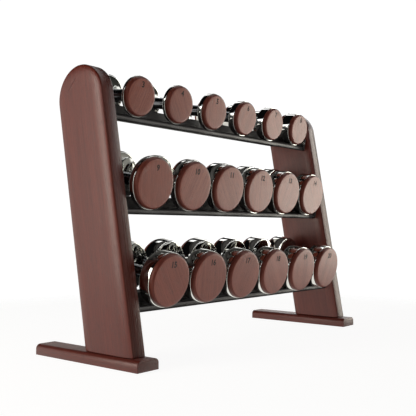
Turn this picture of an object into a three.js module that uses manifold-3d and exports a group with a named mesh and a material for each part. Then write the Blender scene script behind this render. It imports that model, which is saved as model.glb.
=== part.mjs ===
// Three-tier dumbbell rack: two leaning wooden side panels on wooden feet,
// three folded steel trays bolted between them, and eighteen dumbbells.
// Millimetres, +Z up, +X along the rack, the front faces -Y.
// The origin is on the floor, under the middle of the whole rack.

import * as THREE from 'three';
import { mergeVertices } from 'three/addons/utils/BufferGeometryUtils.js';
import Module from 'manifold-3d';

const wasm = await Module();
wasm.setup();

const deg = Math.PI / 180;
const GAP = 0.3;                     // clearance between two pieces that touch

// ---- rack ----
const RACK_WIDTH = 1160;             // over the outer faces of the panels
const PANEL_THICKNESS = 59;
const PANEL_WIDTH = 192;             // square to the panel's length
const PANEL_TOP = 852;               // top of the panel's round end
const PANEL_LEAN = 10 * deg;         // the top leans backwards
const PANEL_BACK = 11.1;             // y of the back edge where it meets the foot
const PANEL_ROUND = 12;              // rounding of the edges round both faces
const FOOT_LENGTH = 433;
const FOOT_WIDTH = 81;
const FOOT_HEIGHT = 31.5;
const FOOT_ROUND = 14;               // rounding of the long top edges

// ---- trays ----
const TRAY_TILT = 10 * deg;          // the front edge is the lower one
const TRAY_LOWEST = 158;             // height of the lowest tray's front edge
const TRAY_SPACING = 274.4;
const TRAY_SETBACK = 19.5;           // from the panel's front edge
const TRAY_DEPTH = 166;
const TRAY_SHEET = 3;
const LIP_HEIGHT = 13.5;             // the rolled front edge
const RIDGE_START = 50;              // the raised rib that the heads sit astride
const RIDGE_END = 84;
const RIDGE_HEIGHT = 29;
const RIDGE_DRAFT = 3;
const FLANGE_HEIGHT = 31;            // end flange, above the tray's floor
const FLANGE_INSET = 4;

// ---- fasteners ----
const BOLT_RADIUS = 3;
const BOLT_LENGTH = 28;              // under the head
const BOLT_HEAD_RADIUS = 5.5;
const BOLT_HEAD_HEIGHT = 3.4;
const BOLT_PLACES = { front: 11, back: 146 };   // along the tray's depth
const BOLT_RAISE = 14;               // above the tray's floor
const SCREW_RADIUS = 4;
const SCREW_HEAD_RADIUS = 8;
const SCREW_HEAD_HEIGHT = 5;
const SCREW_LENGTH = 90;
const SCREW_SPACING = 80;            // between the two screws of a foot
const COUNTERBORE = 8;
const FASTENER_SIDES = 12;

// ---- dumbbells ----
const DUMBBELL_SPACING = 173.5;
const GRIP_LENGTH = 125;             // clear length between the heads
const GRIP_RADIUS = 17;
const GRIP_MIDDLE_RADIUS = 18.5;
const CAP_THICKNESS = 13.5;
const CAP_INSET = 2;                 // the steel rim that shows round the cap
const CAP_ROUND = 8.5;
const HEAD_BEVEL = 1.5;
const SEGMENTS = 16;

// From the top tier down: the head's radius, how far the front rim hangs over
// the tray's front edge, and the head's length, which grows with the weight.
const TIERS = [
  { name: 'top', level: 2, radius: 61.2, overhang: 2, lengths: [10, 12, 18, 24, 32, 40] },
  { name: 'middle', level: 1, radius: 78.5, overhang: 10.5, lengths: [19, 24, 29, 34, 38, 42] },
  { name: 'bottom', level: 0, radius: 79.3, overhang: 24.5, lengths: [40, 42, 44, 46, 48, 50] },
];

const wood = () => new THREE.MeshStandardMaterial({ color: 0x6a423a, roughness: 0.55, metalness: 0 });
const blackSteel = () => new THREE.MeshStandardMaterial({ color: 0x242224, roughness: 0.5, metalness: 0.3 });
const polished = () => new THREE.MeshStandardMaterial({ color: 0xc9c9c7, roughness: 0.12, metalness: 1 });

// ---- solids ----

function solid(geometry) {
  let bare = geometry.index ? geometry.toNonIndexed() : geometry.clone();
  bare.deleteAttribute('normal');
  bare.deleteAttribute('uv');
  bare = mergeVertices(bare, 1e-4);
  return new wasm.Manifold(new wasm.Mesh({
    numProp: 3,
    vertProperties: new Float32Array(bare.attributes.position.array),
    triVerts: new Uint32Array(bare.index.array),
  }));
}

function geometryOf(manifold) {
  const mesh = manifold.getMesh();
  const geometry = new THREE.BufferGeometry();
  geometry.setAttribute('position', new THREE.BufferAttribute(mesh.vertProperties, 3));
  geometry.setIndex(new THREE.BufferAttribute(mesh.triVerts, 1));
  geometry.computeVertexNormals();
  return geometry;
}

function piece(name, geometry, material) {
  const mesh = new THREE.Mesh(geometry, material);
  mesh.name = name;
  return mesh;
}

// An outline in the YZ plane, drawn with its first value along +Y and its
// second along +Z, made `width` long in X from x = 0.
function extrudeAlongX(outline, width, bevel = 0) {
  const geometry = new THREE.ExtrudeGeometry(outline, {
    depth: width - 2 * bevel,
    bevelEnabled: bevel > 0,
    bevelSize: bevel,
    bevelThickness: bevel,
    bevelOffset: -bevel,
    bevelSegments: 3,
    curveSegments: 14,
  });
  geometry.translate(0, 0, bevel);
  geometry.applyMatrix4(new THREE.Matrix4().makeBasis(
    new THREE.Vector3(0, 1, 0), new THREE.Vector3(0, 0, 1), new THREE.Vector3(1, 0, 0)));
  return geometry;
}

// A cylinder whose axis is X, from x = start to x = end.
function rodAlongX(radius, start, end, y, z) {
  const geometry = new THREE.CylinderGeometry(radius, radius, end - start, FASTENER_SIDES);
  geometry.rotateZ(-Math.PI / 2);
  geometry.translate((start + end) / 2, y, z);
  return geometry;
}

// A cylinder whose axis is Z, from z = bottom to z = top.
function rodAlongZ(radius, bottom, top, x, y) {
  const geometry = new THREE.CylinderGeometry(radius, radius, top - bottom, FASTENER_SIDES);
  geometry.rotateX(Math.PI / 2);
  geometry.translate(x, y, (bottom + top) / 2);
  return geometry;
}

// ---- places that several pieces share ----

const panelInside = RACK_WIDTH / 2 - PANEL_THICKNESS;
const panelMiddle = RACK_WIDTH / 2 - PANEL_THICKNESS / 2;
const slantWidth = PANEL_WIDTH / Math.cos(PANEL_LEAN);

function panelBackAt(z) {
  return PANEL_BACK + (z - FOOT_HEIGHT) * Math.tan(PANEL_LEAN);
}

function trayOrigin(level) {
  const z = TRAY_LOWEST + level * TRAY_SPACING;
  return { y: panelBackAt(z) - slantWidth + TRAY_SETBACK, z };
}

// A point of a tray, from its depth behind the front edge and its height
// above the floor sheet, as y and z of the rack.
function trayPoint(level, depth, height) {
  const origin = trayOrigin(level);
  return {
    y: origin.y + depth * Math.cos(TRAY_TILT) - height * Math.sin(TRAY_TILT),
    z: origin.z + depth * Math.sin(TRAY_TILT) + height * Math.cos(TRAY_TILT),
  };
}

const screwPlaces = [-SCREW_SPACING / 2, SCREW_SPACING / 2]
  .map((offset) => PANEL_BACK - slantWidth / 2 + offset);

// ---- rack pieces ----

function sidePanel(side) {
  const bottom = FOOT_HEIGHT + GAP;
  const radius = PANEL_WIDTH / 2;
  const arcZ = PANEL_TOP - radius;
  const arcY = panelBackAt(arcZ) - radius / Math.cos(PANEL_LEAN);
  const outline = new THREE.Shape();
  outline.moveTo(panelBackAt(bottom) - slantWidth, bottom);
  outline.lineTo(panelBackAt(bottom), bottom);
  outline.absarc(arcY, arcZ, radius, -PANEL_LEAN, Math.PI - PANEL_LEAN, false);
  outline.closePath();
  const slab = extrudeAlongX(outline, PANEL_THICKNESS, PANEL_ROUND);
  slab.translate(-PANEL_THICKNESS / 2, 0, 0);
  let body = solid(slab);
  for (const y of screwPlaces) {
    const hole = rodAlongZ(SCREW_RADIUS + GAP, 0, COUNTERBORE + SCREW_LENGTH, 0, y);
    body = body.subtract(solid(hole));
  }
  const face = -side * PANEL_THICKNESS / 2;
  for (const tier of TIERS) {
    for (const depth of Object.values(BOLT_PLACES)) {
      const at = trayPoint(tier.level, depth, BOLT_RAISE);
      const hole = rodAlongX(BOLT_RADIUS + GAP, face - BOLT_LENGTH, face + BOLT_LENGTH, at.y, at.z);
      body = body.subtract(solid(hole));
    }
  }
  return geometryOf(body);
}

function foot() {
  const half = FOOT_WIDTH / 2;
  const outline = new THREE.Shape();
  outline.moveTo(-half, 0);
  outline.lineTo(half, 0);
  outline.absarc(half - FOOT_ROUND, FOOT_HEIGHT - FOOT_ROUND, FOOT_ROUND, 0, Math.PI / 2, false);
  outline.absarc(FOOT_ROUND - half, FOOT_HEIGHT - FOOT_ROUND, FOOT_ROUND, Math.PI / 2, Math.PI, false);
  outline.closePath();
  const bar = new THREE.ExtrudeGeometry(outline, { depth: FOOT_LENGTH, bevelEnabled: false, curveSegments: 5 });
  bar.translate(0, 0, -FOOT_LENGTH / 2);
  bar.rotateX(Math.PI / 2);
  let body = solid(bar);
  for (const y of screwPlaces) {
    const bore = rodAlongZ(SCREW_RADIUS + GAP, -1, FOOT_HEIGHT + 1, 0, y);
    const counterbore = rodAlongZ(SCREW_HEAD_RADIUS + 1, -1, COUNTERBORE, 0, y);
    body = body.subtract(solid(bore)).subtract(solid(counterbore));
  }
  return geometryOf(body);
}

// The tray's cross-section: a sheet of one thickness that follows a path of
// [depth, height] points along its upper side, from the rolled front edge back.
function trayOutline() {
  const round = LIP_HEIGHT / 2;
  const path = [[round + 5, -LIP_HEIGHT]];
  const steps = 6;
  for (let i = 0; i <= steps; i += 1) {
    const angle = -Math.PI / 2 - (Math.PI * i) / steps;
    path.push([round + round * Math.cos(angle), -round + round * Math.sin(angle)]);
  }
  path.push([RIDGE_START, 0]);
  path.push([RIDGE_START + RIDGE_DRAFT, RIDGE_HEIGHT]);
  path.push([RIDGE_END - RIDGE_DRAFT, RIDGE_HEIGHT]);
  path.push([RIDGE_END, 0]);
  path.push([TRAY_DEPTH, 0]);
  path.push([TRAY_DEPTH, -LIP_HEIGHT]);
  const under = path.map((point, i) => {
    const before = path[Math.max(i - 1, 0)];
    const after = path[Math.min(i + 1, path.length - 1)];
    const first = unit(i === 0 ? point : before, i === 0 ? after : point);
    const second = unit(i === path.length - 1 ? before : point, i === path.length - 1 ? point : after);
    const mitre = TRAY_SHEET / (1 + first[0] * second[0] + first[1] * second[1]);
    return [point[0] + mitre * (first[1] + second[1]), point[1] - mitre * (first[0] + second[0])];
  });
  const outline = new THREE.Shape();
  outline.setFromPoints([...path, ...under.reverse()].map(([depth, height]) => new THREE.Vector2(depth, height)));
  return outline;
}

function unit(from, to) {
  const x = to[0] - from[0];
  const y = to[1] - from[1];
  const length = Math.hypot(x, y);
  return [x / length, y / length];
}

function tray() {
  const length = 2 * (panelInside - GAP);
  const sheet = extrudeAlongX(trayOutline(), length);
  sheet.translate(-length / 2, 0, 0);
  let body = solid(sheet);
  const flangeDepth = TRAY_DEPTH - 2 * FLANGE_INSET;
  for (const side of [-1, 1]) {
    const flange = new THREE.BoxGeometry(TRAY_SHEET, flangeDepth, FLANGE_HEIGHT + LIP_HEIGHT - 2);
    const middle = side * (length / 2 - TRAY_SHEET / 2);
    flange.translate(middle, TRAY_DEPTH / 2, (FLANGE_HEIGHT - LIP_HEIGHT + 2) / 2);
    body = body.add(solid(flange));
    for (const depth of Object.values(BOLT_PLACES)) {
      const hole = rodAlongX(BOLT_RADIUS + GAP, middle - TRAY_SHEET, middle + TRAY_SHEET, depth, BOLT_RAISE);
      body = body.subtract(solid(hole));
    }
  }
  return geometryOf(body);
}

// A button-head bolt that points along +X, its head's underside at x = 0.
function trayBolt() {
  const domeRadius = BOLT_HEAD_RADIUS * 0.6;
  const rimHeight = BOLT_HEAD_HEIGHT * 0.35;
  const profile = [
    [0, -BOLT_HEAD_HEIGHT],
    [domeRadius, -BOLT_HEAD_HEIGHT],
    [BOLT_HEAD_RADIUS, -rimHeight],
    [BOLT_HEAD_RADIUS, -GAP],
    [BOLT_RADIUS, -GAP],
    [BOLT_RADIUS, BOLT_LENGTH - 2 * GAP],
    [0, BOLT_LENGTH - 2 * GAP],
  ];
  const geometry = turned(profile, FASTENER_SIDES);
  geometry.rotateZ(-Math.PI / 2);
  return geometry;
}

// A long wood screw that points up, its head's lower face at z = 0.
function footScrew() {
  const profile = [
    [0, 0],
    [SCREW_HEAD_RADIUS, 0],
    [SCREW_HEAD_RADIUS, SCREW_HEAD_HEIGHT],
    [SCREW_RADIUS, SCREW_HEAD_HEIGHT],
    [SCREW_RADIUS, SCREW_LENGTH - 2 * SCREW_RADIUS],
    [0, SCREW_LENGTH],
  ];
  const geometry = turned(profile, FASTENER_SIDES);
  geometry.rotateX(Math.PI / 2);
  return geometry;
}

// ---- dumbbell pieces, turned about Y: y = 0 is the front rim, +Y goes back ----

function turned(profile, segments = SEGMENTS) {
  return new THREE.LatheGeometry(profile.map(([radius, along]) => new THREE.Vector2(radius, along)), segments);
}

function dumbbellSteel(radius, headLength) {
  const backFace = headLength + GRIP_LENGTH;
  const backRim = backFace + headLength;
  const backCap = backRim + CAP_THICKNESS;
  return turned([
    [0, 0],
    [radius - HEAD_BEVEL, 0],
    [radius, HEAD_BEVEL],
    [radius, headLength],
    [GRIP_RADIUS, headLength],
    [GRIP_MIDDLE_RADIUS, headLength + GRIP_LENGTH / 2],
    [GRIP_RADIUS, backFace],
    [radius, backFace],
    [radius, backRim - HEAD_BEVEL],
    [radius - CAP_INSET, backRim],
    [radius - CAP_INSET, backCap - CAP_ROUND],
    [radius - CAP_INSET - CAP_ROUND, backCap],
    [0, backCap],
  ]);
}

function dumbbellCap(radius) {
  return turned([
    [0, -CAP_THICKNESS],
    [radius - CAP_INSET - CAP_ROUND, -CAP_THICKNESS],
    [radius - CAP_INSET - CAP_ROUND * 0.3, -CAP_THICKNESS + CAP_ROUND * 0.3],
    [radius - CAP_INSET, -CAP_THICKNESS + CAP_ROUND],
    [radius - CAP_INSET, -GAP],
    [0, -GAP],
  ]);
}

// ---- assembly ----

const rack = new THREE.Group();
const sides = [{ name: 'left', side: -1 }, { name: 'right', side: 1 }];

for (const { name, side } of sides) {
  const panel = piece(`side_panel_${name}`, sidePanel(side), wood());
  panel.position.x = side * panelMiddle;
  const base = piece(`foot_${name}`, foot(), wood());
  base.position.x = side * panelMiddle;
  rack.add(panel, base);
  screwPlaces.forEach((y, i) => {
    const screw = piece(`foot_screw_${name}_${['front', 'back'][i]}`, footScrew(), polished());
    screw.position.set(side * panelMiddle, y, COUNTERBORE - SCREW_HEAD_HEIGHT - GAP);
    rack.add(screw);
  });
}

for (const tier of TIERS) {
  const origin = trayOrigin(tier.level);
  const tilted = new THREE.Group();
  tilted.position.set(0, origin.y, origin.z);
  tilted.rotation.x = TRAY_TILT;
  rack.add(tilted);
  tilted.add(piece(`tray_${tier.name}`, tray(), blackSteel()));

  for (const { name, side } of sides) {
    for (const [place, depth] of Object.entries(BOLT_PLACES)) {
      const bolt = piece(`tray_bolt_${tier.name}_${name}_${place}`, trayBolt(), polished());
      bolt.position.set(side * (panelInside - GAP - TRAY_SHEET), depth, BOLT_RAISE);
      bolt.rotation.y = side > 0 ? 0 : Math.PI;
      tilted.add(bolt);
    }
  }

  tier.lengths.forEach((headLength, i) => {
    const dumbbell = new THREE.Group();
    dumbbell.position.set((i - 2.5) * DUMBBELL_SPACING, -tier.overhang, tier.radius + GAP);
    tilted.add(dumbbell);
    const label = `dumbbell_${tier.name}_${i + 1}`;
    dumbbell.add(piece(`${label}_steel`, dumbbellSteel(tier.radius, headLength), polished()));
    dumbbell.add(piece(`${label}_cap`, dumbbellCap(tier.radius), wood()));
  });
}

export default rack;
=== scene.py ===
import math

import bmesh
import bpy
from mathutils import Matrix, Vector


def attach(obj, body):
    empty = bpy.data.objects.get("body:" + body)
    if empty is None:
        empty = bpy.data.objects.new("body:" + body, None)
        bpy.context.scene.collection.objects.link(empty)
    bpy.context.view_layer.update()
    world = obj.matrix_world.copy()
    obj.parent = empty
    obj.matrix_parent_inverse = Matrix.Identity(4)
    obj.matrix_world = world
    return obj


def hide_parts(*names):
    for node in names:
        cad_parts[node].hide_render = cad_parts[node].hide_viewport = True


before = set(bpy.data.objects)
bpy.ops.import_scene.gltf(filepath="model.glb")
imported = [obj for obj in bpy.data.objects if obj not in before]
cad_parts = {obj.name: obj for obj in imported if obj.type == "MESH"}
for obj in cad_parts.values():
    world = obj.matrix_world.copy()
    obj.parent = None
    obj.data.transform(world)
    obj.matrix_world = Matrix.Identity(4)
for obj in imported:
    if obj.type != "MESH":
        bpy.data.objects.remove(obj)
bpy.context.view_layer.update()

MM = 0.001
GAP = 0.3 * MM                      # clearance between two pieces that touch

# ---- rack ----
RACK_WIDTH = 1160 * MM
PANEL_THICKNESS = 59 * MM
PANEL_WIDTH = 192 * MM
PANEL_TOP = 852 * MM
PANEL_LEAN = math.radians(10)
PANEL_BACK = 11.1 * MM              # y of the back edge where it meets the foot
PANEL_FACE_ROUND = 38 * MM          # the soft rounding, as wide as this on the panel's faces
PANEL_EDGE_ROUND = 10 * MM          # and this deep in its thickness
FOOT_LENGTH = 433 * MM
FOOT_WIDTH = 81 * MM
FOOT_HEIGHT = 31.5 * MM
FOOT_ROUND = 14 * MM
FOOT_END_ROUND = 1.8 * MM
FOOT_SOLE_ROUND = 1 * MM
PANEL_SOLE_ROUND = 3 * MM

# ---- trays ----
TRAY_TILT = math.radians(10)
TRAY_LOWEST = 158 * MM
TRAY_SPACING = 274.4 * MM
TRAY_SETBACK = 19.5 * MM
TRAY_DEPTH = 166 * MM
TRAY_SHEET = 3 * MM
LIP_HEIGHT = 13.5 * MM
RIDGE_START = 50 * MM
RIDGE_END = 84 * MM
RIDGE_HEIGHT = 29 * MM
RIDGE_DRAFT = 3 * MM
FLANGE_HEIGHT = 31 * MM
FLANGE_INSET = 4 * MM
FLANGE_ROUND = 6 * MM
FLANGE_SHORT = 2 * MM               # how far the flange ends above the front edge's lowest line
FOLD_ROUND = 1.1 * MM
HEM_DEPTH = 5 * MM                  # the flat strip behind the rolled front edge

# ---- fasteners ----
BOLT_HEAD_RADIUS = 5.5 * MM
BOLT_HEAD_HEIGHT = 3.4 * MM
BOLT_PLACES = (11 * MM, 146 * MM)
BOLT_RAISE = 14 * MM
BOLT_DOME = 2.1 * MM
SOCKET_RADIUS = 2.2 * MM
SOCKET_DEPTH = 2 * MM
COUNTERBORE = 8 * MM
COUNTERBORE_RADIUS = 9 * MM
SCREW_SPACING = 80 * MM

# ---- dumbbells ----
DUMBBELL_SPACING = 173.5 * MM
GRIP_LENGTH = 125 * MM
GRIP_RADIUS = 17 * MM
GRIP_MIDDLE_RADIUS = 18.5 * MM
CAP_THICKNESS = 13.5 * MM
CAP_INSET = 2 * MM
CAP_ROUND = 8.5 * MM
CAP_SEAT = 0.8 * MM                 # how far the cap sinks into the head
RECESS_DEPTH = 1 * MM
RIM_ROUND = 1.5 * MM
SHOULDER_ROUND = 4.5 * MM
COLLAR_WIDTH = 5 * MM
NUMBER_SIZE = 24 * MM
NUMBER_DEPTH = 0.15 * MM
NUMBER_BOLDNESS = 0.8 * MM
NUMBER_RAISE = 0.58                 # the figures' middle, as a share of the head's radius
TIERS = (
    ("top", 2, 61.2 * MM, 2 * MM, (10, 12, 18, 24, 32, 40)),
    ("middle", 1, 78.5 * MM, 10.5 * MM, (19, 24, 29, 34, 38, 42)),
    ("bottom", 0, 79.3 * MM, 24.5 * MM, (40, 42, 44, 46, 48, 50)),
)
LIGHTEST = 3                        # kilograms on the first cap, one more on each next one

panel_inside = RACK_WIDTH / 2 - PANEL_THICKNESS
panel_middle = RACK_WIDTH / 2 - PANEL_THICKNESS / 2
slant_width = PANEL_WIDTH / math.cos(PANEL_LEAN)


def panel_back_at(z):
    return PANEL_BACK + (z - FOOT_HEIGHT) * math.tan(PANEL_LEAN)


def tray_place(level):
    """The tray's own frame: x along it, y its depth behind the front edge, z above its floor."""
    z = TRAY_LOWEST + level * TRAY_SPACING
    y = panel_back_at(z) - slant_width + TRAY_SETBACK
    return Matrix.Translation((0, y, z)) @ Matrix.Rotation(TRAY_TILT, 4, "X")


# ---- camera: at the rack's left front corner, a little below half its height ----
LENS_TO_FRAME = 680.4 / 416         # the lens's focal length over the frame's width
camera = bpy.data.objects.new("camera", bpy.data.cameras.new("camera"))
bpy.context.collection.objects.link(camera)
camera.location = (-1.841, -1.492, 0.3757)
yaw = math.radians(50.31)
pitch = math.radians(1.78)
ahead = Vector((math.sin(yaw) * math.cos(pitch), math.cos(yaw) * math.cos(pitch), math.sin(pitch)))
camera.rotation_euler = ahead.to_track_quat("-Z", "Y").to_euler()
camera.data.sensor_width = 36
camera.data.lens = LENS_TO_FRAME * 36
camera.data.clip_end = 50
bpy.context.scene.camera = camera


# ---- materials ----

def linear(code):
    """An sRGB hex colour as the linear values that a shader takes."""
    values = [int(code[i:i + 2], 16) / 255 for i in (1, 3, 5)]
    return tuple(v / 12.92 if v <= 0.04045 else ((v + 0.055) / 1.055) ** 2.4 for v in values) + (1,)


def add(tree, kind, settings=None, inputs=None):
    """Adds a node, sets its settings, and fills its inputs with values or with other nodes' outputs.
    A colour ramp's stops are pairs of a position and a hex colour."""
    made = tree.nodes.new(kind)
    for name, value in (settings or {}).items():
        if name != "stops":
            setattr(made, name, value)
            continue
        elements = made.color_ramp.elements
        while len(elements) < len(value):
            elements.new(0.5)
        for element, (position, code) in zip(elements, value):
            element.position = position
            element.color = linear(code)
    for name, value in (inputs or {}).items():
        if isinstance(value, bpy.types.NodeSocket):
            tree.links.new(value, made.inputs[name])
        else:
            made.inputs[name].default_value = value
    return made


def blank(name):
    """A new material with only its Principled shader."""
    material = bpy.data.materials.new(name)
    material.use_nodes = True
    tree = material.node_tree
    shader = tree.nodes["Principled BSDF"]
    return material, tree, shader


def along(tree, turn, length, width):
    """Object coordinates turned and squeezed, so that a pattern runs along the grain."""
    place = add(tree, "ShaderNodeTexCoord")
    turned = add(tree, "ShaderNodeMapping", inputs={
        "Vector": place.outputs["Object"], "Rotation": turn})
    return add(tree, "ShaderNodeMapping", inputs={
        "Vector": turned.outputs["Vector"], "Scale": (1 / width, 1 / width, 1 / length)}).outputs["Vector"]


def stained_ash(name, grain_turn, dark, middle, light, roughness, shine=0.5, relief=0.35):
    """Ash, planed, stained red-brown and oiled: fine dark pores in a satin, evenly coloured surface
    with soft streaks along the grain. The streaks are the growth rings, about 3 mm apart. The pores
    are really 0.3 mm wide, too fine to show, and are drawn three times as wide."""
    material, tree, shader = blank(name)
    streaks = add(tree, "ShaderNodeTexNoise", inputs={
        "Vector": along(tree, grain_turn, 180 * MM, 3.2 * MM), "Scale": 1.0, "Detail": 3.0, "Roughness": 0.6})
    bands = add(tree, "ShaderNodeTexNoise", inputs={
        "Vector": along(tree, grain_turn, 600 * MM, 40 * MM), "Scale": 1.0, "Detail": 2.0})
    pores = add(tree, "ShaderNodeTexNoise", inputs={
        "Vector": along(tree, grain_turn, 22 * MM, 0.9 * MM), "Scale": 1.0, "Detail": 2.0, "Roughness": 0.7})
    mixed = add(tree, "ShaderNodeMix", {"data_type": "FLOAT"}, {
        "Factor": 0.4, "A": streaks.outputs["Fac"], "B": bands.outputs["Fac"]})
    colour = add(tree, "ShaderNodeValToRGB", {"stops": ((0.36, dark), (0.5, middle), (0.66, light))}, {
        "Fac": mixed.outputs["Result"]})
    pore_mask = add(tree, "ShaderNodeMapRange", inputs={
        "Value": pores.outputs["Fac"], "From Min": 0.54, "From Max": 0.68, "To Min": 0.0, "To Max": 0.6})
    # inputs 6 and 7 and output 2 are a Mix node's colours, which share their names with its numbers
    stained = add(tree, "ShaderNodeMix", {"data_type": "RGBA", "blend_type": "MULTIPLY"}, {
        "Factor": pore_mask.outputs["Result"], 6: colour.outputs["Color"], 7: linear("#6a5049")})
    tree.links.new(stained.outputs[2], shader.inputs["Base Color"])
    satin = add(tree, "ShaderNodeMapRange", inputs={
        "Value": streaks.outputs["Fac"], "From Min": 0.3, "From Max": 0.7,
        "To Min": roughness - 0.05, "To Max": roughness + 0.07})
    tree.links.new(satin.outputs["Result"], shader.inputs["Roughness"])
    height = add(tree, "ShaderNodeMath", {"operation": "SUBTRACT"}, {
        0: streaks.outputs["Fac"], 1: pore_mask.outputs["Result"]})
    bump = add(tree, "ShaderNodeBump", inputs={
        "Height": height.outputs[0], "Strength": relief, "Distance": 0.3 * MM})
    tree.links.new(bump.outputs["Normal"], shader.inputs["Normal"])
    shader.inputs["IOR"].default_value = 1.5
    shader.inputs["Specular IOR Level"].default_value = shine
    return material


def powder_coat(name):
    """Sheet steel, powder coated black: satin, with the fine orange peel of baked powder."""
    material, tree, shader = blank(name)
    place = add(tree, "ShaderNodeTexCoord")
    peel = add(tree, "ShaderNodeTexNoise", inputs={
        "Vector": place.outputs["Object"], "Scale": 1 / (1.6 * MM), "Detail": 2.0})
    patches = add(tree, "ShaderNodeTexNoise", inputs={
        "Vector": place.outputs["Object"], "Scale": 1 / (60 * MM), "Detail": 3.0})
    colour = add(tree, "ShaderNodeValToRGB", {"stops": ((0.3, "#322f30"), (0.7, "#3c3839"))}, {
        "Fac": patches.outputs["Fac"]})
    tree.links.new(colour.outputs["Color"], shader.inputs["Base Color"])
    satin = add(tree, "ShaderNodeMapRange", inputs={
        "Value": patches.outputs["Fac"], "To Min": 0.46, "To Max": 0.58})
    tree.links.new(satin.outputs["Result"], shader.inputs["Roughness"])
    bump = add(tree, "ShaderNodeBump", inputs={
        "Height": peel.outputs["Fac"], "Strength": 0.25, "Distance": 0.08 * MM})
    tree.links.new(bump.outputs["Normal"], shader.inputs["Normal"])
    shader.inputs["IOR"].default_value = 1.5
    shader.inputs["Specular IOR Level"].default_value = 1
    return material


def polished_steel(name, tone, smooth, rough, streak):
    """Turned steel, polished to a mirror: hairline marks round a dumbbell's axis and faint handling
    haze. Real hairlines are finer than 0.1 mm, too fine to show, and are drawn as wide as streak."""
    material, tree, shader = blank(name)
    place = add(tree, "ShaderNodeTexCoord")
    haze = add(tree, "ShaderNodeTexNoise", inputs={
        "Vector": place.outputs["Object"], "Scale": 1 / (45 * MM), "Detail": 4.0})
    hairlines = add(tree, "ShaderNodeTexNoise", inputs={
        "Vector": along(tree, (math.pi / 2 + TRAY_TILT, 0, 0), streak, 40 * MM), "Scale": 1.0, "Detail": 2.0})
    shader.inputs["Base Color"].default_value = linear(tone)
    shader.inputs["Metallic"].default_value = 1
    gloss = add(tree, "ShaderNodeMapRange", inputs={
        "Value": haze.outputs["Fac"], "From Min": 0.3, "From Max": 0.7, "To Min": smooth, "To Max": rough})
    tree.links.new(gloss.outputs["Result"], shader.inputs["Roughness"])
    bump = add(tree, "ShaderNodeBump", inputs={
        "Height": hairlines.outputs["Fac"], "Strength": 0.06, "Distance": 0.02 * MM})
    tree.links.new(bump.outputs["Normal"], shader.inputs["Normal"])
    return material


def burnt_wood(name):
    """Wood burnt by a branding iron: matt, almost black-brown, with millimetre grains of char."""
    material, tree, shader = blank(name)
    place = add(tree, "ShaderNodeTexCoord")
    char = add(tree, "ShaderNodeTexNoise", inputs={
        "Vector": place.outputs["Object"], "Scale": 1 / (1.2 * MM), "Detail": 2.0})
    colour = add(tree, "ShaderNodeValToRGB", {"stops": ((0.3, "#241511"), (0.7, "#3a2620"))}, {
        "Fac": char.outputs["Fac"]})
    tree.links.new(colour.outputs["Color"], shader.inputs["Base Color"])
    shader.inputs["Roughness"].default_value = 0.8
    return material


# the grain runs up the panels, along the feet, and at three different angles across the caps
UP_PANEL = (PANEL_LEAN, 0, 0)
ALONG_FOOT = (math.pi / 2, 0, 0)
panel_wood = stained_ash("stained_ash_panel", UP_PANEL, "#602217", "#6c2a1f", "#793327", 0.33)
# the panels' edges and roundings take a darker, less shiny copy of the panel wood: painted shade on them
shaded_panel_edge = stained_ash("stained_ash_panel_edge_painted_shade", UP_PANEL, "#4a1a11", "#562217", "#63291c", 0.28,
                         shine=0.3, relief=0.4)
foot_wood = stained_ash("stained_ash_foot", ALONG_FOOT, "#5d231a", "#682a20", "#743227", 0.35)
foot_end = stained_ash("stained_ash_foot_end", ALONG_FOOT, "#4a1b12", "#572318", "#662c21", 0.35,
                       relief=0.8)
# the caps' rounded rims take a darker, less shiny copy of the cap wood: painted shade on them
shaded_cap_edge = stained_ash("stained_ash_cap_edge_painted_shade", (-TRAY_TILT, 0, 0), "#692f24", "#72362a", "#7a3c30", 0.4,
                       shine=0.25)
cap_woods = [stained_ash(f"stained_ash_cap_{n + 1}", (-TRAY_TILT, turn, 0),
                         "#823827", "#944532", "#a6533f", 0.33)
             for n, turn in enumerate((0.6, 0.1, -0.35))]
tray_coat = powder_coat("black_powder_coat")
mirror_steel = polished_steel("polished_steel", "#cfcfcc", 0.02, 0.05, 0.6 * MM)
grip_steel = polished_steel("dark_polished_steel", "#6b6c70", 0.12, 0.2, 0.4 * MM)
bolt_steel = polished_steel("stainless_bolt", "#c4c3bf", 0.18, 0.28, 0.4 * MM)
number_char = burnt_wood("burnt_number")


# ---- modelling helpers ----

def deselect():
    if bpy.context.mode != "OBJECT":
        bpy.ops.object.mode_set(mode="OBJECT")
    bpy.ops.object.select_all(action="DESELECT")


def edit(piece):
    deselect()
    bpy.context.view_layer.objects.active = piece
    piece.select_set(True)
    bpy.ops.object.mode_set(mode="EDIT")
    bpy.ops.mesh.select_all(action="DESELECT")


def done():
    bpy.ops.object.mode_set(mode="OBJECT")


def pick(piece, kind, test):
    """Selects the piece's faces, edges or verts that pass a test, in edit mode, and nothing else."""
    bpy.ops.mesh.select_mode(type={"faces": "FACE", "edges": "EDGE", "verts": "VERT"}[kind])
    bpy.ops.mesh.select_all(action="DESELECT")
    mesh = bmesh.from_edit_mesh(piece.data)
    for item in getattr(mesh, kind):
        item.select_set(bool(test(item)))
    mesh.select_flush_mode()
    bmesh.update_edit_mesh(piece.data)


def near(a, b, slack=1e-5):
    return abs(a - b) < slack


def block(name, size, centre=(0, 0, 0)):
    deselect()
    bpy.ops.mesh.primitive_cube_add(size=1, location=centre, scale=size)
    piece = bpy.context.active_object
    piece.name = name
    bpy.ops.object.transform_apply(location=True, rotation=True, scale=True)
    return piece


def cylinder(name, radius, bottom, top, sides=96):
    """A cylinder about Z from z = bottom to z = top."""
    deselect()
    bpy.ops.mesh.primitive_cylinder_add(vertices=sides, radius=radius, depth=top - bottom,
                                        location=(0, 0, (bottom + top) / 2), end_fill_type="NGON")
    piece = bpy.context.active_object
    piece.name = name
    bpy.ops.object.transform_apply(location=True, rotation=True, scale=True)
    return piece


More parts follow.
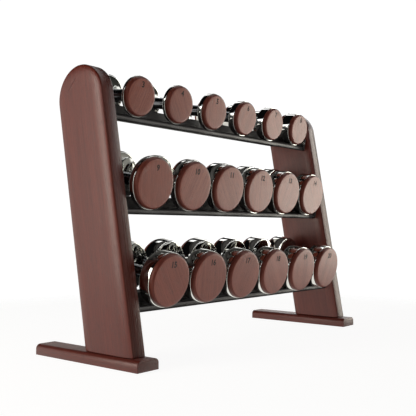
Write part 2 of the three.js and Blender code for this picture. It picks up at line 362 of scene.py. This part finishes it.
def apply_modifier(piece, kind, **settings):
    deselect()
    bpy.context.view_layer.objects.active = piece
    piece.select_set(True)
    modifier = piece.modifiers.new(kind.lower(), kind)
    for name, value in settings.items():
        setattr(modifier, name, value)
    bpy.ops.object.modifier_apply(modifier=modifier.name)


def cut(piece, cutter):
    apply_modifier(piece, "BOOLEAN", object=cutter, operation="DIFFERENCE", solver="EXACT")
    bpy.data.objects.remove(cutter)


def smooth(piece, angle=35):
    deselect()
    bpy.context.view_layer.objects.active = piece
    piece.select_set(True)
    bpy.ops.object.shade_smooth_by_angle(angle=math.radians(angle))


def join(pieces, name):
    deselect()
    for piece in pieces:
        piece.select_set(True)
    bpy.context.view_layer.objects.active = pieces[0]
    bpy.ops.object.join()
    pieces[0].name = name
    return pieces[0]


def mark_edges(piece, test):
    """Marks the faces whose normal passes a test, to take the piece's second material."""
    for face in piece.data.polygons:
        face.material_index = int(test(face.normal))


def dress(piece, material, body, edge_material=None):
    marks = [face.material_index for face in piece.data.polygons]
    piece.data.materials.clear()
    piece.data.materials.append(material)
    if edge_material:
        piece.data.materials.append(edge_material)
        piece.data.polygons.foreach_set("material_index", marks)
    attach(piece, body)
    return piece


def copy_to(model, name, place):
    """A copy of a model piece with its own mesh. Its mesh is moved, and its object stays at the origin."""
    copy = bpy.data.objects.new(name, model.data.copy())
    bpy.context.collection.objects.link(copy)
    copy.data.transform(place)
    return copy


# ---- side panels and feet ----

def make_panel(name, side):
    """A slab with a half-round top, leaning back and cut level where it stands on its foot. Its edges
    are rounded while it is stretched in thickness, which makes the rounding wide and shallow."""
    radius = PANEL_WIDTH / 2
    arc_z = PANEL_TOP - radius
    arc_y = panel_back_at(arc_z) - radius / math.cos(PANEL_LEAN)
    length = PANEL_TOP / math.cos(PANEL_LEAN)
    slab = block(name, (PANEL_THICKNESS, PANEL_WIDTH, length), (0, 0, radius - length / 2))
    edit(slab)
    pick(slab, "edges", lambda e: all(near(v.co.z, radius) for v in e.verts)
         and near(e.verts[0].co.y, e.verts[1].co.y))
    bpy.ops.mesh.bevel(offset=radius * 0.9999, segments=36, affect="EDGES")
    done()
    stretch = PANEL_FACE_ROUND / PANEL_EDGE_ROUND
    slab.data.transform(Matrix.Scale(stretch, 4, (1, 0, 0)))
    edit(slab)
    pick(slab, "edges", lambda e: near(e.verts[0].co.x, e.verts[1].co.x)
         and max(v.co.z for v in e.verts) > radius - length + 1e-4)
    bpy.ops.mesh.bevel(offset=PANEL_FACE_ROUND, segments=9, affect="EDGES")
    done()
    slab.data.transform(Matrix.Translation((side * panel_middle, arc_y, arc_z))
                        @ Matrix.Rotation(-PANEL_LEAN, 4, "X") @ Matrix.Scale(1 / stretch, 4, (1, 0, 0)))
    edit(slab)
    bpy.ops.mesh.select_all(action="SELECT")
    bottom = FOOT_HEIGHT + GAP
    bpy.ops.mesh.bisect(plane_co=(0, 0, bottom), plane_no=(0, 0, -1), clear_outer=True, use_fill=True)
    pick(slab, "edges", lambda e: all(near(v.co.z, bottom) for v in e.verts))
    bpy.ops.mesh.bevel(offset=PANEL_SOLE_ROUND, segments=3, affect="EDGES")
    bpy.ops.mesh.select_all(action="SELECT")
    bpy.ops.mesh.remove_doubles(threshold=1e-6)
    bpy.ops.mesh.normals_make_consistent(inside=False)
    done()
    smooth(slab, 30)
    # the faces that do not look to the sides take the second, darker wood: painted shade on the edges
    mark_edges(slab, lambda normal: abs(normal.x) < 0.8)
    dress(slab, panel_wood, "rack", shaded_panel_edge)
    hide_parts(name)


def make_foot(name, side):
    """A bar with rounded top edges and two counterbores in its underside for the screws."""
    bar = block(name, (FOOT_WIDTH, FOOT_LENGTH, FOOT_HEIGHT), (side * panel_middle, 0, FOOT_HEIGHT / 2))
    edit(bar)
    pick(bar, "edges", lambda e: all(near(v.co.z, FOOT_HEIGHT) for v in e.verts)
         and near(e.verts[0].co.x, e.verts[1].co.x))
    bpy.ops.mesh.bevel(offset=FOOT_ROUND, segments=6, affect="EDGES")
    pick(bar, "edges", lambda e: all(near(abs(v.co.y), FOOT_LENGTH / 2) for v in e.verts)
         and max(v.co.z for v in e.verts) > 1 * MM)
    bpy.ops.mesh.bevel(offset=FOOT_END_ROUND, segments=3, affect="EDGES")
    pick(bar, "edges", lambda e: all(near(v.co.z, 0) for v in e.verts))
    bpy.ops.mesh.bevel(offset=FOOT_SOLE_ROUND, segments=2, affect="EDGES")
    done()
    middle = PANEL_BACK - slant_width / 2
    for y in (middle - SCREW_SPACING / 2, middle + SCREW_SPACING / 2):
        cutter = cylinder("counterbore", COUNTERBORE_RADIUS, -1 * MM, COUNTERBORE, 32)
        cutter.data.transform(Matrix.Translation((side * panel_middle, y, 0)))
        cut(bar, cutter)
    smooth(bar, 30)
    mark_edges(bar, lambda normal: abs(normal.y) > 0.9)
    dress(bar, foot_wood, "rack", foot_end)
    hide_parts(name)


for side_name, side in (("left", -1), ("right", 1)):
    make_panel(f"side_panel_{side_name}", side)
    make_foot(f"foot_{side_name}", side)
    for end in ("front", "back"):
        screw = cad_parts[f"foot_screw_{side_name}_{end}"]
        screw.data.materials.clear()
        screw.data.materials.append(bolt_steel)


# ---- trays ----

def make_tray_model():
    """One folded tray in its own frame: floor, rolled front edge, rib, turned-down back and end flanges."""
    length = 2 * (panel_inside - GAP)
    lip = LIP_HEIGHT / 2
    deselect()
    bpy.ops.mesh.primitive_plane_add(size=1, location=(0, (lip + RIDGE_START) / 2, 0))
    sheet = bpy.context.active_object
    sheet.scale = (length, RIDGE_START - lip, 1)
    bpy.ops.object.transform_apply(location=True, rotation=True, scale=True)
    edit(sheet)
    pick(sheet, "edges", lambda e: all(near(v.co.y, RIDGE_START) for v in e.verts))
    for step in ((0, RIDGE_DRAFT, RIDGE_HEIGHT), (0, RIDGE_END - RIDGE_START - 2 * RIDGE_DRAFT, 0),
                 (0, RIDGE_DRAFT, -RIDGE_HEIGHT), (0, TRAY_DEPTH - RIDGE_END, 0), (0, 0, -LIP_HEIGHT)):
        bpy.ops.mesh.extrude_region_move(TRANSFORM_OT_translate={"value": step})
    pick(sheet, "edges", lambda e: all(near(v.co.y, lip) for v in e.verts))
    bpy.ops.mesh.spin(steps=14, angle=math.pi, center=(0, lip, -lip), axis=(1, 0, 0))
    bpy.ops.mesh.extrude_region_move(TRANSFORM_OT_translate={"value": (0, HEM_DEPTH, 0)})
    bpy.ops.mesh.select_all(action="SELECT")
    bpy.ops.mesh.remove_doubles(threshold=1e-6)
    bpy.ops.mesh.normals_make_consistent(inside=False)
    done()
    if max(sheet.data.polygons, key=lambda f: f.area).normal.z < 0:
        sheet.data.flip_normals()
    apply_modifier(sheet, "SOLIDIFY", thickness=TRAY_SHEET, offset=-1, use_even_offset=True)
    apply_modifier(sheet, "BEVEL", width=FOLD_ROUND, segments=3, limit_method="ANGLE",
                   angle_limit=math.radians(40))
    flange_height = FLANGE_HEIGHT + LIP_HEIGHT - FLANGE_SHORT
    parts = [sheet]
    for side in (-1, 1):
        flange = block("flange", (TRAY_SHEET, TRAY_DEPTH - 2 * FLANGE_INSET, flange_height),
                       (side * (length - TRAY_SHEET) / 2, TRAY_DEPTH / 2, FLANGE_HEIGHT - flange_height / 2))
        edit(flange)
        pick(flange, "edges", lambda e: near(e.verts[0].co.y, e.verts[1].co.y)
             and near(e.verts[0].co.z, e.verts[1].co.z) and e.verts[0].co.z > 0)
        bpy.ops.mesh.bevel(offset=FLANGE_ROUND, segments=6, affect="EDGES")
        done()
        apply_modifier(flange, "BEVEL", width=0.5 * MM, segments=2, limit_method="ANGLE",
                       angle_limit=math.radians(50))
        parts.append(flange)
    model = join(parts, "tray_model")
    smooth(model, 35)
    return model


def make_bolt_model():
    """A button head with a hexagon socket, its underside at z = 0 and its dome towards +z."""
    head = cylinder("bolt_model", BOLT_HEAD_RADIUS, 0, BOLT_HEAD_HEIGHT, 32)
    edit(head)
    pick(head, "edges", lambda e: all(near(v.co.z, BOLT_HEAD_HEIGHT) for v in e.verts))
    bpy.ops.mesh.bevel(offset=BOLT_DOME, segments=5, affect="EDGES")
    done()
    cut(head, cylinder("socket", SOCKET_RADIUS, BOLT_HEAD_HEIGHT - SOCKET_DEPTH,
                       BOLT_HEAD_HEIGHT + 1 * MM, 6))
    smooth(head, 35)
    return head


tray_model = make_tray_model()
bolt_model = make_bolt_model()
for tier, level, *_ in TIERS:
    place = tray_place(level)
    tray = dress(copy_to(tray_model, f"tray_{tier}", place), tray_coat, "rack")
    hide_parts(f"tray_{tier}")
    for side_name, side in (("left", -1), ("right", 1)):
        for end, depth in zip(("front", "back"), BOLT_PLACES):
            node = f"tray_bolt_{tier}_{side_name}_{end}"
            at = Matrix.Translation((side * (panel_inside - GAP - TRAY_SHEET), depth, BOLT_RAISE))
            facing = Matrix.Rotation(-side * math.pi / 2, 4, "Y")
            bolt = dress(copy_to(bolt_model, node, place @ at @ facing), bolt_steel, "rack")
            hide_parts(node)


# ---- dumbbells, each modelled about Z and then laid along the tray's depth ----

def make_head(radius, length):
    """A turned head: z = 0 is the rim round its cap, and z = length the inner face, which rises in a
    shallow dome and a collar towards the grip."""
    head = cylinder("head_model", radius, 0, length, 96)
    edit(head)
    pick(head, "faces", lambda f: f.normal.z < -0.9)
    bpy.ops.mesh.inset(thickness=CAP_INSET)
    bpy.ops.mesh.extrude_region_move(TRANSFORM_OT_translate={"value": (0, 0, RECESS_DEPTH)})
    pick(head, "faces", lambda f: f.normal.z > 0.9 and f.calc_center_median().z > length - 1e-5)
    for inset, rise in ((radius * 0.38, 0.8 * MM), (radius * 0.62 - GRIP_RADIUS - COLLAR_WIDTH, 1.4 * MM),
                        (COLLAR_WIDTH, 4 * MM)):
        bpy.ops.mesh.inset(thickness=inset)
        bpy.ops.transform.translate(value=(0, 0, rise))
    pick(head, "edges", lambda e: all(near(v.co.xy.length, radius) and near(v.co.z, length) for v in e.verts))
    bpy.ops.mesh.bevel(offset=min(SHOULDER_ROUND, length * 0.4), segments=6, affect="EDGES")
    pick(head, "edges", lambda e: all(near(v.co.z, 0) for v in e.verts))
    bpy.ops.mesh.bevel(offset=RIM_ROUND, segments=4, affect="EDGES")
    done()
    smooth(head, 28)
    return head


def make_cap(radius):
    """A turned wooden cap: its face looks to -z, and z = 0 is the steel rim."""
    cap = cylinder("cap_model", radius - CAP_INSET - GAP, -CAP_THICKNESS, CAP_SEAT, 96)
    edit(cap)
    pick(cap, "edges", lambda e: all(near(v.co.z, -CAP_THICKNESS) for v in e.verts))
    bpy.ops.mesh.bevel(offset=CAP_ROUND, segments=9, affect="EDGES")
    pick(cap, "faces", lambda f: f.normal.z < -0.999)
    bpy.ops.mesh.inset(thickness=6 * MM)
    done()
    smooth(cap, 28)
    # the rounded rim takes the second, darker wood: painted shade on it
    mark_edges(cap, lambda normal: abs(normal.z) < 0.96)
    return cap


def make_grip():
    """A barrel-shaped grip about Z, its middle at z = 0."""
    half = GRIP_LENGTH / 2
    grip = cylinder("grip_model", GRIP_RADIUS, -half, half, 64)
    edit(grip)
    rings = 20
    pick(grip, "edges", lambda e: abs(e.verts[0].co.z - e.verts[1].co.z) > half)
    bpy.ops.mesh.subdivide(number_cuts=rings - 1)
    for i in range(1, rings):
        z = -half + i * GRIP_LENGTH / rings
        swell = 1 + (GRIP_MIDDLE_RADIUS / GRIP_RADIUS - 1) * math.cos(math.pi * z / GRIP_LENGTH)
        pick(grip, "verts", lambda v: near(v.co.z, z, 1e-4))
        bpy.ops.transform.resize(value=(swell, swell, 1))
    done()
    smooth(grip, 30)
    return grip


def make_number(text, radius):
    """The weight as thin burnt figures near the cap's upper edge, facing -y."""
    deselect()
    bpy.ops.object.text_add(location=(0, 0, 0))
    figures = bpy.context.active_object
    figures.data.body = text
    figures.data.size = NUMBER_SIZE
    figures.data.extrude = NUMBER_DEPTH
    figures.data.offset = NUMBER_BOLDNESS
    figures.data.resolution_u = 4
    figures.data.align_x = "CENTER"
    figures.data.align_y = "CENTER"
    bpy.ops.object.convert(target="MESH")
    number = bpy.context.active_object
    number.name = "number_model"
    raised = Matrix.Translation((0, 0, radius * NUMBER_RAISE))
    number.data.transform(raised @ Matrix.Rotation(math.pi / 2, 4, "X"))
    return number


grip_model = make_grip()
LAID = Matrix.Rotation(-math.pi / 2, 4, "X")      # turns +z to +y
TURNED = Matrix.Rotation(math.pi, 4, "Z")         # swaps front and back
weight = LIGHTEST
for tier, level, radius, overhang, lengths in TIERS:
    cap_model = make_cap(radius)
    for i, millimetres in enumerate(lengths):
        length = millimetres * MM
        body = f"dumbbell_{tier}_{i + 1}"
        whole = 2 * length + GRIP_LENGTH
        rim = tray_place(level) @ Matrix.Translation(((i - 2.5) * DUMBBELL_SPACING, -overhang, radius + GAP))
        far = rim @ Matrix.Translation((0, whole, 0)) @ TURNED
        head_model = make_head(radius, length)
        number_model = make_number(str(weight), radius)
        cap_wood = cap_woods[(i + level) % len(cap_woods)]
        for end, place in (("front", rim), ("back", far)):
            head = dress(copy_to(head_model, f"{body}_head_{end}", place @ LAID), mirror_steel,
                         body)
            cap = dress(copy_to(cap_model, f"{body}_cap_{end}", place @ LAID), cap_wood,
                        body, shaded_cap_edge)
            on_face = place @ Matrix.Translation((0, -CAP_THICKNESS, 0))
            dress(copy_to(number_model, f"{body}_number_{end}", on_face), number_char, body)
            if end == "front":
                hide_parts(f"{body}_steel")
                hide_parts(f"{body}_cap")
        middle = rim @ Matrix.Translation((0, whole / 2, 0))
        dress(copy_to(grip_model, f"{body}_grip", middle @ LAID), grip_steel, body)
        bpy.data.objects.remove(head_model)
        bpy.data.objects.remove(number_model)
        weight += 1
    bpy.data.objects.remove(cap_model)
for model in (tray_model, bolt_model, grip_model):
    bpy.data.objects.remove(model)


# ---- stage: a pale floor that fades into white surroundings, and soft studio light ----

FLOOR_GLOW = 0.82                   # the share of the floor's white that is its own light
FLOOR_BRIGHTNESS = 1.12
FLOOR_FADE = (1.2, 2.3)             # metres from the middle between which the floor fades out
DOME_STRENGTH = 0.4
WALL_STRENGTH = 1.15
STRIP_STRENGTH = 2.2
BACKDROP_STRENGTH = 1.05
LAMP_TINT = (1, 0.97, 0.86)
TIMES = {"operation": "MULTIPLY"}


def pale_floor():
    """Matt white paper that lights itself, so that only a faint shadow shows at the feet, and that
    fades out before it reaches a horizon."""
    material, tree, paper = blank("pale_floor")
    paper.inputs["Base Color"].default_value = linear("#f6f1ea")
    paper.inputs["Roughness"].default_value = 1
    paper.inputs["Specular IOR Level"].default_value = 0
    glow = add(tree, "ShaderNodeEmission", inputs={"Color": (1, 1, 1, 1), "Strength": FLOOR_BRIGHTNESS})
    sheet = add(tree, "ShaderNodeMixShader", inputs={0: FLOOR_GLOW, 1: paper.outputs[0], 2: glow.outputs[0]})
    place = add(tree, "ShaderNodeTexCoord")
    distance = add(tree, "ShaderNodeVectorMath", {"operation": "LENGTH"}, {0: place.outputs["Object"]})
    fade = add(tree, "ShaderNodeMapRange", {"interpolation_type": "SMOOTHSTEP"}, {
        "Value": distance.outputs["Value"], "From Min": FLOOR_FADE[0], "From Max": FLOOR_FADE[1]})
    clear = add(tree, "ShaderNodeBsdfTransparent")
    faded = add(tree, "ShaderNodeMixShader", inputs={
        0: fade.outputs["Result"], 1: sheet.outputs[0], 2: clear.outputs[0]})
    tree.links.new(faded.outputs[0], tree.nodes["Material Output"].inputs["Surface"])
    return material


deselect()
bpy.ops.mesh.primitive_plane_add(size=8, location=(0, 0, 0))
floor = bpy.context.active_object
floor.name = "floor"
floor.data.materials.append(pale_floor())
floor.visible_glossy = False
floor.visible_diffuse = False


def towards(tree, direction, heading, fade_from, fade_to):
    """1 where a ray points along the heading and 0 well away from it."""
    dot = add(tree, "ShaderNodeVectorMath", {"operation": "DOT_PRODUCT"}, {0: direction, 1: heading})
    return add(tree, "ShaderNodeMapRange", {"interpolation_type": "SMOOTHSTEP"}, {
        "Value": dot.outputs["Value"], "From Min": fade_from, "From Max": fade_to}).outputs["Result"]


def studio(tree):
    """White for the camera. Diffuse light comes mostly from the white floor. Reflections show that floor,
    a pale cove at the back on the left, one half as bright on the right, and under a black ceiling three
    strip lights that run front to back, one on the left and two on the right."""
    tree.nodes.clear()
    rays = add(tree, "ShaderNodeLightPath")
    direction = add(tree, "ShaderNodeTexCoord").outputs["Generated"]
    axes = add(tree, "ShaderNodeSeparateXYZ", inputs={"Vector": direction})
    across = axes.outputs["X"]
    up = axes.outputs["Z"]
    height = add(tree, "ShaderNodeMath", {"operation": "MULTIPLY_ADD"}, {0: up, 1: 0.5, 2: 0.5}).outputs[0]

    bounce = add(tree, "ShaderNodeValToRGB", {"stops": (
        (0.49, "#fffefa"), (0.51, "#6a6a69"), (0.62, "#767574"), (0.9, "#e3e2df"))}, {"Fac": height})
    dome = add(tree, "ShaderNodeBackground", inputs={
        "Color": bounce.outputs["Color"], "Strength": DOME_STRENGTH})

    walls = add(tree, "ShaderNodeValToRGB", {"stops": (
        (0.25, "#fffdf7"), (0.42, "#d8d5ce"), (0.48, "#96938c"), (0.52, "#3a3936"), (0.6, "#0a0a0b"))}, {
        "Fac": height})
    reflected = add(tree, "ShaderNodeBackground", inputs={
        "Color": walls.outputs["Color"], "Strength": WALL_STRENGTH})

    low = add(tree, "ShaderNodeMath", TIMES, {
        0: towards(tree, direction, (0, 0, -1), -0.42, -0.3),
        1: towards(tree, direction, (0, 0, 1), -0.3, 0.0)})
    left_cove = towards(tree, direction, (-0.77, 0.64, 0), 0.55, 0.8)
    right_cove = towards(tree, direction, (0.77, 0.64, 0), 0.55, 0.8)
    coves = add(tree, "ShaderNodeMath", {"operation": "MULTIPLY_ADD"}, {0: right_cove, 1: 0.5, 2: left_cove})
    cove = add(tree, "ShaderNodeMath", TIMES, {0: coves.outputs[0], 1: low.outputs[0]})
    lit_cove = add(tree, "ShaderNodeBackground", inputs={
        "Color": linear("#fffdf6"), "Strength": cove.outputs[0]})

    leftward = add(tree, "ShaderNodeMath", TIMES, {0: across, 1: -1})
    angle = add(tree, "ShaderNodeMath", {"operation": "ARCTAN2"}, {0: up, 1: leftward.outputs[0]})
    half_turns = add(tree, "ShaderNodeMath", TIMES, {0: angle.outputs[0], 1: 1 / math.pi})
    strips = add(tree, "ShaderNodeValToRGB", {"stops": (
        (0.115, "#000000"), (0.125, "#ffffff"), (0.165, "#ffffff"), (0.175, "#000000"),
        (0.62, "#000000"), (0.63, "#ffffff"), (0.70, "#ffffff"), (0.71, "#000000"),
        (0.82, "#000000"), (0.83, "#ffffff"), (0.90, "#ffffff"), (0.91, "#000000"))}, {
        "Fac": half_turns.outputs[0]})
    overhead = add(tree, "ShaderNodeMath", TIMES, {
        0: towards(tree, direction, (0, -1, 0), -0.64, -0.58),
        1: towards(tree, direction, (0, 0, 1), 0.05, 0.1)})
    shine = add(tree, "ShaderNodeMath", TIMES, {0: overhead.outputs[0], 1: STRIP_STRENGTH})
    tubes = add(tree, "ShaderNodeBackground", inputs={
        "Color": strips.outputs["Color"], "Strength": shine.outputs[0]})

    mirrored = add(tree, "ShaderNodeAddShader", inputs={0: reflected.outputs[0], 1: lit_cove.outputs[0]})
    mirrored = add(tree, "ShaderNodeAddShader", inputs={0: mirrored.outputs[0], 1: tubes.outputs[0]})
    white = add(tree, "ShaderNodeBackground", inputs={"Color": (1, 1, 1, 1), "Strength": BACKDROP_STRENGTH})
    lit = add(tree, "ShaderNodeMixShader", inputs={
        0: rays.outputs["Is Glossy Ray"], 1: dome.outputs[0], 2: mirrored.outputs[0]})
    seen = add(tree, "ShaderNodeMixShader", inputs={
        0: rays.outputs["Is Camera Ray"], 1: lit.outputs[0], 2: white.outputs[0]})
    add(tree, "ShaderNodeOutputWorld", inputs={"Surface": seen.outputs[0]})


world = bpy.data.worlds.new("studio")
bpy.context.scene.world = world
world.use_nodes = True
studio(world.node_tree)


def softbox(name, place, target, width, height, watts, mirrored=True, diffuse=True):
    """A soft rectangular lamp that no camera sees."""
    light = bpy.data.lights.new(name, "AREA")
    light.shape = "RECTANGLE"
    light.size = width
    light.size_y = height
    light.energy = watts
    light.color = LAMP_TINT
    lamp = bpy.data.objects.new(name, light)
    bpy.context.collection.objects.link(lamp)
    lamp.location = place
    lamp.rotation_euler = (Vector(target) - Vector(place)).to_track_quat("-Z", "Y").to_euler()
    lamp.visible_camera = False
    lamp.visible_glossy = mirrored
    lamp.visible_diffuse = diffuse


softbox("left", (-2.25, 0.72, 0.8), (-0.6, 0, 0.5), 0.8, 1.9, 21)
softbox("front", (-0.4, -3.4, 0.5), (0, 0, 0.4), 2.4, 1.0, 8, mirrored=False)
softbox("right", (2.0, -1.0, 0.7), (0.3, -0.1, 0.5), 0.9, 1.7, 27, diffuse=False)

bpy.context.scene.view_settings.view_transform = "Standard"
